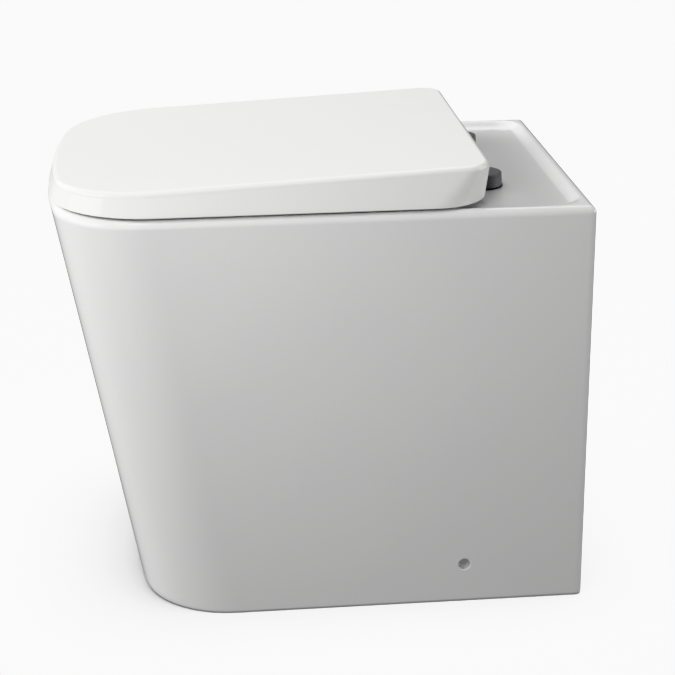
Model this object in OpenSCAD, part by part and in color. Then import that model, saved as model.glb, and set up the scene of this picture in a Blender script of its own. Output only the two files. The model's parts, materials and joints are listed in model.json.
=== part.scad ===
// Back to wall toilet: a china pan with a raked front, a wrap-over soft-close lid and a seat ring.
// X runs across the pan, -Y is the front, +Y is the wall and +Z is up. The origin is on the floor,
// in the middle of the pan's width and depth. All sizes are in millimetres.

/* [Pan] */
// Width of the pan across its upright sides
pan_w = 360; // [340:5:440]
// Depth of the pan from the wall to its front
pan_d = 510; // [470:5:620]
// Height of the rim above the floor
pan_h = 400; // [380:5:480]
// Lean of the front from upright, in degrees
front_rake = 9.9; // [0:0.1:12]
// Radius of the front corners in plan
front_corner_r = 90; // [60:5:120]
// Radius of the gentle bow across the front
front_bow_r = 580; // [300:10:900]
// Radius of the upright corners at the wall
rear_corner_r = 4; // [3:0.5:8]
// Rounding of the rim's outer edge
rim_edge_r = 7; // [4:0.5:9]
// Rounding of the outer edge at the floor
foot_edge_r = 4; // [2:0.5:8]
// Thickness of the china in the outer skin
china_wall = 12; // [9:0.5:15]
// Thickness of the rim, from its top to the hollow below
rim_thick = 20; // [16:1:30]
// Width of the foot that stands on the floor
foot_w = 22; // [16:1:32]

/* [Bowl] */
// Width of the bowl's mouth
bowl_w = 240; // [200:5:260]
// Width of the rim in front of the bowl
rim_front_w = 48; // [40:1:60]
// Distance from the wall to the back of the bowl's mouth
bowl_setback = 178; // [172:1:190]
// Depth of the upright band below the rim that guides the flush
flush_band_h = 42; // [34:1:50]
// Width of the ledge below that band
flush_ledge_w = 14; // [8:1:18]
// Thickness of the china in the bowl
bowl_wall = 12; // [10:0.5:15]
// Height of the well's floor above the ground
well_floor_z = 90; // [84:1:96]

/* [Trap and connections] */
// Radius of the water passage through the trap
trap_r = 26; // [24:0.5:28]
// Thickness of the china round the passage
trap_wall = 9; // [8:0.5:11]
// Radius of the passage's bends, on its centre line
trap_bend_r = 48; // [46:1:52]
// Height of the outlet's centre above the floor
outlet_z = 180; // [176:1:190]
// Outer radius of the outlet spigot
outlet_r = 51; // [48:0.5:54]
// Length of the outlet spigot, behind its shoulder
spigot_len = 37; // [34:1:38]
// Height of the shoulder round the spigot's foot
shoulder_h = 4; // [2:0.5:6]
// Inner radius of the outlet spigot
outlet_bore_r = 42; // [38:0.5:43]
// Distance from the wall to the end of the outlet spigot
outlet_setback = 40; // [30:1:50]
// Depth of the flush inlet's centre below the rim
inlet_below_rim = 55; // [52:1:60]
// Radius of the flush inlet
inlet_r = 27.5; // [25:0.5:30]
// Length of the flush inlet
inlet_len = 60; // [50:1:64]
// Distance from the wall to the mouth of the flush inlet
inlet_setback = 50; // [40:1:56]
// Width of the flush slot into the bowl
flush_slot_w = 90; // [60:2:110]
// Height of the flush slot
flush_slot_h = 20; // [14:1:24]
// Radius of the side holes for the floor fixings
side_hole_r = 6; // [4:0.5:8]
// Height of the side holes above the floor
side_hole_z = 40; // [30:1:60]
// Distance from the wall to the side holes
side_hole_setback = 118.5; // [90:0.5:150]
// Width of china left on each side of the open back
rear_pillar_w = 30; // [22:1:40]

/* [Rear shelf] */
// Depth of the sunk shelf below the rim
shelf_depth = 5; // [3:0.5:7]
// Width of the rim between the shelf and the wall
shelf_rear_rim_w = 18; // [14:1:24]
// Width of the rim between the shelf and each side
shelf_side_rim_w = 9; // [8:0.5:14]
// Distance from the wall to the front of the shelf, under the lid
shelf_front = 152; // [146:1:160]
// Width of the soft slope round the shelf
shelf_slope_w = 16; // [8:1:24]
// Radius of the shelf's rear corners
shelf_corner_r = 28; // [16:1:40]

/* [Lid] */
// Gap between the rim and the lid's lower edge
lid_gap = 1.8; // [1.2:0.1:3]
// Height of the lid's top above the rim at the front
lid_front_h = 21.5; // [21:0.5:30]
// Height of the lid's top above the rim at the rear
lid_rear_h = 40.5; // [39:0.5:46]
// Distance that the lid's lower edge stays inside the pan's sides
lid_side_inset = 1.5; // [0:0.5:4]
// Distance from the wall to the lid's rear edge
lid_setback = 96.5; // [95:0.5:104]
// Distance that the lid's sides lean in, from the lower edge to the top
lid_draft = 4.5; // [1:0.5:6]
// Radius of the lid's front corners at the lower edge
lid_front_corner_r = 98; // [60:1:120]
// Radius of the gentle bow across the lid's front
lid_bow_r = 700; // [300:10:900]
// Radius of the lid's rear corners at the lower edge
lid_rear_corner_r = 52; // [40:1:60]
// Radius of the lid's rear corners at the top
lid_rear_top_r = 37; // [30:1:50]
// Rounding of the lid's top edge
lid_edge_r = 5; // [3:0.5:7]
// Thickness of the lid's walls
lid_wall = 4.5; // [3.5:0.5:5]
// Half width of the open part of the lid's rear wall
lid_rear_gap_half = 112; // [106:1:120]

/* [Seat] */
// Height of the seat's underside above the rim
seat_lift = 4; // [3.5:0.5:5]
// Thickness of the seat ring
seat_thick = 11; // [9:0.5:11.5]
// Side gap between the seat and the inside of the lid's leaning walls
seat_side_gap = 1.5; // [1:0.5:4]
// Distance that the seat reaches in over the bowl's mouth
seat_overhang = 10; // [4:1:16]
// Distance from the hinge axis to the seat's rear edge
seat_rear_from_axis = 22.5; // [22:0.5:28]
// Rounding of the seat's outer top edge
seat_outer_r = 4; // [2:0.5:5]
// Rounding of the seat's inner top edge
seat_inner_r = 8; // [4:0.5:9]

/* [Hinges] */
// Distance between the two hinge posts
post_spacing = 150; // [148:1:160]
// Distance from the wall to the centre of the posts
post_setback = 90; // [88:1:94]
// Radius of a post at its foot
post_r = 19.5; // [19:0.5:22]
// Height of a post, from its gasket to its top
post_h = 12.5; // [11:0.5:13]
// Thickness of the gasket below a post
gasket_t = 1.5; // [1:0.5:3]
// Distance from the wall to the hinge axis
axis_setback = 106; // [104:0.5:110]
// Height of the hinge axis above the rim
axis_h = 23; // [22.5:0.5:24]
// Radius of the barrels and knuckles
knuckle_r = 8.5; // [7.5:0.5:9]
// Length of a post's barrel
barrel_len = 21; // [18:1:24]
// Length of a knuckle
knuckle_len = 12; // [10:1:16]
// Radius of the hinge pin
pin_r = 3; // [2.5:0.25:3.5]
// Radius of the damper cartridge
damper_r = 6; // [5:0.25:6.5]
// Radial clearance of a turning or sliding fit
running_gap = 0.05; // [0.02:0.01:0.1]
// Clearance between neighbouring hinge parts
side_gap = 0.4; // [0.3:0.1:0.6]
// Travel of the release buttons
button_travel = 3; // [2.5:0.1:3]

/* [Fixings] */
// Radius of the seat fixing holes in the shelf
fixing_hole_r = 7.5; // [6.5:0.5:8]
// Radius of the fixing stud's shank
stud_r = 4; // [3:0.5:4.5]
// Length of the stud below the base plate
stud_len = 50; // [46:1:60]
// Radius of the base plate
plate_r = 16.3; // [14:0.1:16.4]
// Thickness of the base plate
plate_t = 2; // [1.5:0.1:2.2]

/* [Hidden] */

$fn = 64;
// steps of the outlines' stretches: rear corner, front corner and bow
rear_steps = 5;
corner_steps = 15;
bow_steps = 8;
overlap = 1;

wall_y = pan_d / 2;
front_y = -pan_d / 2;
function from_wall(distance) = wall_y - distance;

china_white = [0.93, 0.93, 0.94];
seat_white = [0.96, 0.96, 0.96];
post_grey = [0.27, 0.27, 0.28];
steel_grey = [0.66, 0.67, 0.69];
rubber_black = [0.08, 0.08, 0.09];
rubber_white = [0.86, 0.86, 0.85];
brass = [0.78, 0.62, 0.33];
nylon = [0.82, 0.81, 0.78];

// ---------------------------------------------------------------- outlines and lofts
// An outline is [half width, front y, rear y, front corner radius, bow radius, rear corner radius].
// A ring is [outline, height, slope], and its height grows with y by the slope.

function arc(x, y, r, from, to, steps) =
    [for (i = [0 : steps]) let (a = from + (to - from) * i / steps) [x + r * cos(a), y + r * sin(a)]];

function without_first(list) = [for (i = [1 : len(list) - 1]) list[i]];

// the y at which an outline's front corner leaves its straight side
function corner_start_y(o) = o[1] + o[4] - sqrt(pow(o[4] - o[3], 2) - pow(o[0] - o[3], 2));

function half_outline(o) =
    let (corner_x = o[0] - o[3])
    let (corner_y = corner_start_y(o))
    let (turn = acos(corner_x / (o[4] - o[3])))
    concat(
        arc(o[0] - o[5], o[2] - o[5], o[5], 90, 0, rear_steps),
        arc(corner_x, corner_y, o[3], 0, -turn, corner_steps),
        without_first(arc(0, o[1] + o[4], o[4], -turn, -90, bow_steps))
    );

function outline_points(o) =
    let (half = half_outline(o))
    concat(half, [for (i = [len(half) - 2 : -1 : 0]) [-half[i][0], half[i][1]]]);

function inset(o, d) =
    [o[0] - d, o[1] + d, o[2] - d, max(o[3] - d, 1), max(o[4] - d, 2), max(o[5] - d, 1)];

function moved_front(o, d) = [o[0], o[1] + d, o[2], o[3], o[4], o[5]];

function mix(a, b, t) = a * (1 - t) + b * t;

function smooth(t) = t * t * (3 - 2 * t);

function ring_points(ring) =
    [for (p = outline_points(ring[0])) [p[0], p[1], ring[1] + (len(ring) > 2 ? ring[2] : 0) * p[1]]];

function mean(points) = [for (p = points) 1] * points / len(points);

// Rings run outward over a solid's top and down its outside.
function band_faces(lower, upper, n) =
    [for (k = [0 : n - 1]) let (next = (k + 1) % n)
        each [[lower * n + k, upper * n + k, upper * n + next],
              [lower * n + k, upper * n + next, lower * n + next]]];

module loft(rings) {
    layers = [for (ring = rings) ring_points(ring)];
    n = len(layers[0]);
    last = len(layers) - 1;
    points = concat([for (layer = layers) each layer], [mean(layers[0]), mean(layers[last])]);
    sides = [for (i = [0 : last - 1]) each band_faces(i, i + 1, n)];
    start_cap = [for (k = [0 : n - 1]) [n * len(layers), k, (k + 1) % n]];
    end_cap = [for (k = [0 : n - 1]) [n * len(layers) + 1, last * n + (k + 1) % n, last * n + k]];
    polyhedron(points = points, faces = concat(sides, start_cap, end_cap));
}

module closed_loft(rings) {
    layers = [for (ring = rings) ring_points(ring)];
    n = len(layers[0]);
    count = len(layers);
    faces = [for (i = [0 : count - 1]) each band_faces(i, (i + 1) % count, n)];
    polyhedron(points = [for (layer = layers) each layer], faces = faces);
}

// rings of a rounded outer edge, from the top face out and down
function round_over(o, top, r, steps, slope = 0) =
    [for (i = [0 : steps]) let (a = 90 * (1 - i / steps))
        [inset(o, r * (1 - cos(a))), top - r * (1 - sin(a)), slope]];

// rings of a rounded mouth, from inside it out to the top face
function round_mouth(o, top, r, steps) =
    [for (i = [0 : steps]) let (a = 90 * i / steps)
        [inset(o, -r * (1 - cos(a))), top - r * (1 - sin(a))]];

module slot_shape(length, width) {
    square([length - width, width], center = true);
    for (side = [-1, 1])
        translate([side * (length - width) / 2, 0]) circle(d = width);
}

// a shape drawn with x to the wall and y up, given a thickness along X from x0 to x1
module across(x0, x1) {
    translate([x0, 0, 0])
        rotate([90, 0, 90])
            linear_extrude(height = x1 - x0) children();
}

// a round bar along Y from y0 to y1
module bar_y(x, z, r, y0, y1) {
    translate([x, y0, z])
        rotate([-90, 0, 0])
            cylinder(r = r, h = y1 - y0);
}

// builds the right-hand piece, or mirrors it for the left-hand one
module on_side(side) {
    if (side < 0)
        mirror([1, 0, 0]) children();
    else
        children();
}

// ---------------------------------------------------------------- pan
// The pan is one piece of fired china. It is cast in sections that are joined while soft: the rim, the skirt,
// the bowl, the trapway with its spigot and the flush horn. Each is a solid here, and they meet face to face.
rim_outline = [pan_w / 2, front_y, wall_y, front_corner_r, front_bow_r, rear_corner_r];
rake_shift = tan(front_rake);
function skin_outline(z) = moved_front(rim_outline, (pan_h - rim_edge_r - z) * rake_shift);

mouth_outline = [bowl_w / 2, front_y + rim_front_w, from_wall(bowl_setback), 85, 160, 90];
mouth_edge_r = 6;
band_z = pan_h - flush_band_h;
bowl_top_z = band_z - 12;
bowl_top = inset(mouth_outline, flush_ledge_w);
waist_z = well_floor_z + 82;
waist_outline = [50, from_wall(352), from_wall(252), 38, 70, 36];
floor_outline = [30, from_wall(324), from_wall(258), 20, 44, 22];
well_wall = bowl_wall + 4;
rim_under_z = pan_h - rim_thick;
foot_rise = 14;
skirt_fillet = 8;

// the bowl narrows slowly at first and then faster, down to its waist
bowl_sweep = 70;
bowl_steps = 7;
function bowl_share(i) = (1 - cos(bowl_sweep * i / bowl_steps)) / (1 - cos(bowl_sweep));
function bowl_drop(i) = sin(bowl_sweep * i / bowl_steps) / sin(bowl_sweep);
bowl_rings = [for (i = [bowl_steps : -1 : 0])
    [mix(bowl_top, waist_outline, bowl_share(i)), mix(bowl_top_z, waist_z, bowl_drop(i))]];

well_steps = 4;
well_rings = [for (i = [well_steps : -1 : 1]) let (a = 80 * i / well_steps)
    [mix(waist_outline, floor_outline, 1 - cos(a)), mix(waist_z, well_floor_z, sin(a) / sin(80))]];

rim_rings = concat(
    [[mouth_outline, rim_under_z]],
    round_mouth(mouth_outline, pan_h, mouth_edge_r, 3),
    round_over(rim_outline, pan_h, rim_edge_r, 4),
    [[skin_outline(rim_under_z), rim_under_z]]
);

skirt_rings = [
    [skin_outline(rim_under_z), rim_under_z],
    [skin_outline(foot_edge_r), foot_edge_r],
    [inset(skin_outline(0), foot_edge_r * 0.3), foot_edge_r * 0.3],
    [inset(skin_outline(0), foot_edge_r), 0],
    [inset(skin_outline(0), foot_w), 0],
    [inset(skin_outline(foot_rise), foot_w), foot_rise],
    [inset(skin_outline(2 * foot_rise), china_wall), 2 * foot_rise],
    [inset(skin_outline(rim_under_z - skirt_fillet), china_wall), rim_under_z - skirt_fillet],
    [inset(skin_outline(rim_under_z), china_wall + skirt_fillet), rim_under_z]
];

bowl_inside_rings = concat(
    well_rings,
    bowl_rings,
    [[inset(mouth_outline, flush_ledge_w - 4), bowl_top_z + 4],
     [inset(mouth_outline, 3), bowl_top_z + 6],
     [mouth_outline, band_z],
     [mouth_outline, rim_under_z]]
);

// the underside of the bowl follows its inside, one wall further out
bowl_under_rings = [for (i = [0 : bowl_steps])
    [inset(mix(bowl_top, waist_outline, bowl_share(i)), -mix(bowl_wall, well_wall, i / bowl_steps)),
     mix(bowl_top_z, waist_z, bowl_drop(i)) - 8]];
well_under_rings = [for (i = [1 : well_steps]) let (a = 80 * i / well_steps)
    [inset(mix(waist_outline, floor_outline, 1 - cos(a)), -well_wall),
     mix(waist_z, well_floor_z - well_wall, sin(a) / sin(80))]];

bowl_outside_rings = concat(
    [[inset(mouth_outline, -bowl_wall), rim_under_z],
     [inset(mouth_outline, -bowl_wall), band_z - 4]],
    bowl_under_rings,
    well_under_rings
);

// the trap's centre line in the middle plane: in from the well, up, over the weir and down
dip_y = from_wall(194) - trap_bend_r;
dip_z = well_floor_z - 2 + trap_r;
weir_y = from_wall(194) + trap_bend_r;
weir_z = outlet_z - 6;
weir_turn = 50;
chamber_y = weir_y + trap_bend_r - trap_r + 4;
shoulder_y = from_wall(outlet_setback + spigot_len);

// a bend about X, from the wall side of its centre upwards by `turn` degrees
module trap_bend(r, turn) {
    rotate([90, 0, 90])
        rotate_extrude(angle = turn)
            translate([trap_bend_r, 0]) circle(r = r);
}

module trap_route(r, start_y) {
    bar_y(0, dip_z, r, start_y, dip_y);
    translate([0, dip_y, dip_z + trap_bend_r])
        mirror([0, 0, 1]) trap_bend(r, 90);
    translate([0, dip_y + trap_bend_r, dip_z + trap_bend_r])
        cylinder(r = r, h = weir_z - dip_z - trap_bend_r);
    translate([0, weir_y, weir_z])
        mirror([0, 1, 0]) trap_bend(r, 90 + weir_turn);
}

inlet_z = pan_h - inlet_below_rim;
inlet_y = from_wall(inlet_setback);
inlet_end_y = inlet_y - inlet_len;
duct_w = flush_slot_w + 2 * trap_wall;
duct_h = flush_slot_h + 2 * trap_wall;

module horn_walls() {
    duct_y = from_wall(bowl_setback + 4);
    bar_y(0, inlet_z, inlet_r + trap_wall, inlet_end_y - trap_wall, inlet_y);
    translate([-duct_w / 2, duct_y, inlet_z - duct_h / 2])
        cube([duct_w, inlet_end_y + trap_wall - 4 - duct_y, rim_under_z - inlet_z + duct_h / 2]);
    translate([-trap_wall / 2, inlet_end_y, inlet_z])
        cube([trap_wall, inlet_len - 4, rim_under_z - inlet_z]);
}

module flush_passage() {
    bar_y(0, inlet_z, inlet_r, inlet_end_y, inlet_y + overlap);
    translate([0, inlet_end_y + overlap, inlet_z])
        rotate([90, 0, 0])
            linear_extrude(height = bowl_setback + flush_ledge_w - inlet_setback - inlet_len + 12)
                slot_shape(flush_slot_w, flush_slot_h);
}

opening_half = pan_w / 2 - rear_pillar_w;
opening_corner_r = 25;

// the back is open from the floor up to the rim, with rounded upper corners
module rear_opening() {
    corner_z = rim_under_z - opening_corner_r;
    translate([0, wall_y + overlap, 0])
        rotate([90, 0, 0])
            linear_extrude(height = foot_w + 2 * overlap)
                union() {
                    translate([-opening_half, -overlap])
                        square([2 * opening_half, corner_z + overlap]);
                    translate([-opening_half + opening_corner_r, 0])
                        square([2 * (opening_half - opening_corner_r), rim_under_z + overlap]);
                    for (side = [-1, 1])
                        translate([side * (opening_half - opening_corner_r), corner_z])
                            circle(r = opening_corner_r);
                }
}

shelf_outline = [pan_w / 2 - shelf_side_rim_w, from_wall(shelf_front), from_wall(shelf_rear_rim_w),
                 30, 4000, shelf_corner_r];
shelf_z = pan_h - shelf_depth;
shelf_steps = 5;

module shelf_dish() {
    loft(concat(
        [[shelf_outline, pan_h + 3]],
        [for (i = [0 : shelf_steps]) let (t = i / shelf_steps)
            [inset(shelf_outline, shelf_slope_w * t), mix(pan_h + 0.3, shelf_z, smooth(t))]]
    ));
}

post_x = post_spacing / 2;
post_y = from_wall(post_setback);

module pan_rim() {
    color(china_white)
        difference() {
            closed_loft(rim_rings);
            shelf_dish();
            for (side = [-1, 1])
                translate([side * post_x, post_y, rim_under_z - overlap])
                    cylinder(r = fixing_hole_r, h = rim_thick + 2 * overlap);
        }
}

// the skirt's straight sides start just behind its front corners at the floor
side_start_y = corner_start_y(skin_outline(0)) + 4;

module pan_front() {
    color(china_white)
        intersection() {
            closed_loft(skirt_rings);
            translate([-pan_w, side_start_y - pan_d, -overlap])
                cube([2 * pan_w, pan_d, pan_h]);
        }
}

module pan_side(side) {
    color(china_white)
        on_side(side)
            difference() {
                intersection() {
                    closed_loft(skirt_rings);
                    translate([0, side_start_y, -overlap])
                        cube([pan_w, pan_d, pan_h]);
                }
                rear_opening();
                translate([pan_w / 2 - china_wall - overlap, from_wall(side_hole_setback), side_hole_z])
                    rotate([0, 90, 0])
                        cylinder(r = side_hole_r, h = china_wall + 2 * overlap);
            }
}

module bowl() {
    color(china_white)
        difference() {
            loft(concat(bowl_inside_rings, bowl_outside_rings));
            trap_route(trap_r, from_wall(290));
            flush_passage();
        }
}

module bowl_form() {
    loft(bowl_outside_rings);
}

module trapway() {
    color(china_white)
        difference() {
            union() {
                trap_route(trap_r + trap_wall, from_wall(250));
                bar_y(0, outlet_z, outlet_r + shoulder_h, chamber_y - trap_wall, shoulder_y);
            }
            trap_route(trap_r, from_wall(290));
            bar_y(0, outlet_z, outlet_bore_r, chamber_y, shoulder_y + overlap);
            bowl_form();
        }
}

module outlet_spigot() {
    color(china_white)
        difference() {
            bar_y(0, outlet_z, outlet_r, shoulder_y, from_wall(outlet_setback));
            bar_y(0, outlet_z, outlet_bore_r, shoulder_y - overlap, from_wall(outlet_setback) + overlap);
        }
}

module flush_horn() {
    color(china_white)
        difference() {
            horn_walls();
            flush_passage();
            bowl_form();
            translate([-duct_w, front_y, rim_under_z])
                cube([2 * duct_w, pan_d, pan_h]);
        }
}

// ---------------------------------------------------------------- hinge axis
axis_y = from_wall(axis_setback);
axis_z = pan_h + axis_h;
barrel_x0 = post_x - barrel_len / 2;
barrel_x1 = post_x + barrel_len / 2;
seat_knuckle_x0 = barrel_x1 + side_gap;
seat_knuckle_x1 = seat_knuckle_x0 + knuckle_len;
lid_knuckle_x1 = barrel_x0 - side_gap;
lid_knuckle_x0 = lid_knuckle_x1 - knuckle_len;

module axis_bar(r, x0, x1) {
    translate([x0, axis_y, axis_z])
        rotate([0, 90, 0])
            cylinder(r = r, h = x1 - x0);
}

module knuckle_bores() {
    for (side = [-1, 1])
        on_side(side)
            axis_bar(pin_r + running_gap, lid_knuckle_x0 - overlap, seat_knuckle_x1 + overlap);
}

// ---------------------------------------------------------------- lid
lid_outline = [pan_w / 2 - lid_side_inset, front_y + lid_side_inset, from_wall(lid_setback),
               lid_front_corner_r, lid_bow_r, lid_rear_corner_r];
lid_top_outline = [lid_outline[0] - lid_draft, lid_outline[1] + lid_draft, lid_outline[2],
                   lid_outline[3] - lid_draft, lid_outline[4] - lid_draft, lid_rear_top_r];
lid_slope = (lid_rear_h - lid_front_h) / (lid_outline[2] - lid_outline[1]);
// height that the sloping top plane would have at y = 0
lid_top_at_zero = pan_h + lid_front_h - lid_slope * lid_outline[1];
lid_bottom_z = pan_h + lid_gap;
lid_under_at_zero = lid_top_at_zero - lid_wall;
function lid_under_z(y) = lid_under_at_zero + lid_slope * y;

lid_rings = concat(
    round_over(lid_top_outline, lid_top_at_zero, lid_edge_r, 4, lid_slope),
    [[lid_outline, lid_bottom_z + 0.8],
     [inset(lid_outline, 0.8), lid_bottom_z],
     [inset(lid_outline, lid_wall - 0.6), lid_bottom_z],
     [inset(lid_outline, lid_wall), lid_bottom_z + 0.6],
     [inset(lid_top_outline, lid_wall), lid_under_at_zero - 4, lid_slope],
     [inset(lid_top_outline, lid_wall + 1.2), lid_under_at_zero - 1.2, lid_slope],
     [inset(lid_top_outline, lid_wall + 4), lid_under_at_zero, lid_slope]]
);

module lid_lug() {
    across(lid_knuckle_x0, lid_knuckle_x1) {
        translate([axis_y, axis_z]) circle(r = knuckle_r);
        polygon([[axis_y - knuckle_r, axis_z],
                 [axis_y - knuckle_r - 8, lid_under_z(axis_y) + overlap],
                 [axis_y + knuckle_r - 2, lid_under_z(axis_y) + overlap],
                 [axis_y + knuckle_r - 2, axis_z]]);
    }
}

module lid() {
    color(seat_white)
        difference() {
            union() {
                difference() {
                    loft(lid_rings);
                    translate([-lid_rear_gap_half, from_wall(lid_setback + lid_wall + 3), lid_bottom_z - overlap])
                        cube([2 * lid_rear_gap_half, lid_wall + 3 + overlap,
                              lid_under_z(from_wall(lid_setback + lid_wall)) - lid_bottom_z]);
                }
                for (side = [-1, 1])
                    on_side(side) lid_lug();
            }
            knuckle_bores();
            for (place = lid_buffer_places)
                translate([place[0], place[1], lid_under_z(place[1]) - overlap])
                    cylinder(r = peg_r + 0.1, h = overlap + lid_peg_h + 0.3);
        }
}

// ---------------------------------------------------------------- seat
seat_inset = lid_wall + lid_draft + seat_side_gap;
seat_rear_corner_r = 30;
seat_outline = [lid_outline[0] - seat_inset, lid_outline[1] + seat_inset, axis_y - seat_rear_from_axis,
                lid_outline[3] - seat_inset, lid_outline[4] - seat_inset, seat_rear_corner_r];
seat_hole = inset(mouth_outline, seat_overhang);
seat_under_z = pan_h + seat_lift;
seat_top_z = seat_under_z + seat_thick;
seat_edge = 1.5;

seat_rings = concat(
    [for (i = [0 : 3]) let (a = 90 * i / 3)
        [inset(seat_hole, -seat_inner_r * (1 - cos(a))), seat_top_z - seat_inner_r * (1 - sin(a))]],
    round_over(seat_outline, seat_top_z, seat_outer_r, 3),
    [[seat_outline, seat_under_z + seat_edge],
     [inset(seat_outline, seat_edge), seat_under_z],
     [inset(seat_hole, -seat_edge), seat_under_z],
     [seat_hole, seat_under_z + seat_edge]]
);

module seat_lug() {
    reach = seat_rear_from_axis + 10;
    across(seat_knuckle_x0, seat_knuckle_x1) {
        translate([axis_y, axis_z]) circle(r = knuckle_r);
        polygon([[axis_y - reach, seat_under_z + 3],
                 [axis_y - seat_rear_from_axis - 2, seat_under_z + 3],
                 [axis_y - 4, axis_z - knuckle_r + 1.2],
                 [axis_y, axis_z],
                 [axis_y - 5, axis_z + knuckle_r - 2],
                 [axis_y - reach, seat_top_z - 1]]);
    }
}

module seat() {
    color(seat_white)
        difference() {
            union() {
                closed_loft(seat_rings);
                for (side = [-1, 1])
                    on_side(side) seat_lug();
            }
            knuckle_bores();
            for (side = [-1, 1])
                for (place = seat_buffer_places)
                    translate([side * place[0], place[1], seat_under_z - overlap])
                        cylinder(r = peg_r + 0.1, h = overlap + seat_peg_h + 0.3);
        }
}

// ---------------------------------------------------------------- buffers
peg_r = 2.5;
seat_peg_h = 5;
lid_peg_h = 2.2;
rest_gap = 0.2;
buffer_len = 26;
buffer_w = 10;
// right-hand places of the seat's buffers: x, y and the turn in plan
seat_buffer_places = [
    [pan_w / 2 - 36, from_wall(225), 90],
    [pan_w / 2 - 108, front_y + 28, 14]
];
lid_buffer_r = 7;
lid_buffer_places = [for (x = [-1, 1]) [x * (pan_w / 2 - 106), front_y + 34]];

module seat_buffers() {
    color(rubber_white)
        for (side = [-1, 1])
            on_side(side)
                for (place = seat_buffer_places)
                    translate([place[0], place[1], 0]) {
                        translate([0, 0, pan_h + rest_gap])
                            linear_extrude(height = seat_lift - rest_gap)
                                rotate([0, 0, place[2]])
                                    slot_shape(buffer_len, buffer_w);
                        translate([0, 0, seat_under_z - overlap])
                            cylinder(r = peg_r, h = overlap + seat_peg_h);
                    }
}

module lid_buffers() {
    color(rubber_white)
        for (place = lid_buffer_places)
            translate([place[0], place[1], 0])
                difference() {
                    union() {
                        translate([0, 0, seat_top_z + rest_gap])
                            cylinder(r = lid_buffer_r, h = lid_under_z(place[1] - lid_buffer_r) - seat_top_z - rest_gap);
                        translate([0, 0, seat_top_z + 1])
                            cylinder(r = peg_r, h = lid_under_z(place[1]) + lid_peg_h - seat_top_z - 1);
                    }
                    translate([0, 0, seat_top_z])
                        cylinder(r = 1, h = 2);
                }
}

// ---------------------------------------------------------------- hinge posts
gasket_z = shelf_z;
post_z = gasket_z + gasket_t;
post_top_z = post_z + post_h;
post_gap = 0.1;
post_draft = 0.8;
post_edge_r = 1.2;
pocket_r = plate_r + 0.5;
pocket_top_z = post_z + 7.3;
plate_top_z = post_z + plate_t;
collar_t = 1.6;
latch_t = 1.2;
latch_z = plate_top_z + collar_t + 0.4;
window_z0 = latch_z - 1.2;
window_h = 4;
button_half_w = 4.5;

// the post's round cap: a drafted side, a fine shadow groove and a rounded top edge
module post_cap() {
    groove_z = post_top_z - 2.4;
    rotate_extrude()
        difference() {
            union() {
                polygon([[0, post_z + post_gap], [post_r, post_z + post_gap],
                         [post_r - post_draft, post_top_z - post_edge_r],
                         [post_r - post_draft - post_edge_r, post_top_z], [0, post_top_z]]);
                translate([post_r - post_draft - post_edge_r, post_top_z - post_edge_r])
                    circle(r = post_edge_r);
            }
            translate([0, post_z])
                square([pocket_r, pocket_top_z - post_z]);
            translate([post_r - post_draft - 0.2, groove_z])
                square([2, 0.5]);
        }
}

module post_tower() {
    across(-barrel_len / 2, barrel_len / 2) {
        translate([axis_y - post_y, axis_z]) circle(r = knuckle_r);
        polygon([[axis_y - post_y - knuckle_r + 0.1, axis_z],
                 [axis_y - post_y + knuckle_r - 0.1, axis_z],
                 [axis_y - post_y + 9.5, post_top_z - 1.5],
                 [axis_y - post_y + 1, post_top_z - 1.5]]);
    }
}

module hinge_post(side) {
    color(post_grey)
        on_side(side)
            translate([post_x, post_y, 0])
                difference() {
                    union() {
                        post_cap();
                        post_tower();
                    }
                    translate([-post_x, -post_y, 0])
                        axis_bar(damper_r + running_gap, barrel_x0 - overlap, barrel_x1 + overlap);
                    translate([-post_r - overlap, -button_half_w - 0.2, window_z0 - 0.2])
                        cube([post_r, 2 * button_half_w + 0.4, window_h + 0.4]);
                }
}

module hinge_pin(side) {
    color(steel_grey)
        on_side(side)
            difference() {
                axis_bar(pin_r, lid_knuckle_x0 + 0.5, seat_knuckle_x1 - 0.5);
                // driving flats for a screwdriver in both ends
                for (x = [lid_knuckle_x0, seat_knuckle_x1 - 1.2])
                    translate([x, axis_y - pin_r, axis_z - 0.4])
                        cube([1.2, 2 * pin_r, 0.8]);
            }
}

module soft_close_damper(side) {
    color(nylon)
        on_side(side)
            difference() {
                axis_bar(damper_r, barrel_x0 + 0.2, barrel_x1 - 0.2);
                axis_bar(pin_r + running_gap, barrel_x0 - overlap, barrel_x1 + overlap);
                // the cartridge's rolled waist
                translate([post_x, axis_y, axis_z])
                    rotate([0, 90, 0])
                        rotate_extrude()
                            translate([damper_r + 0.3, 0]) circle(r = 0.8);
            }
}

// ---------------------------------------------------------------- quick release
head_r = 3.6;
neck_r = 2.6;
head_z = plate_top_z + collar_t + 1.9;
head_t = 1.3;
button_proud = button_travel + 0.4;
latch_rear = 8;

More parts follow.
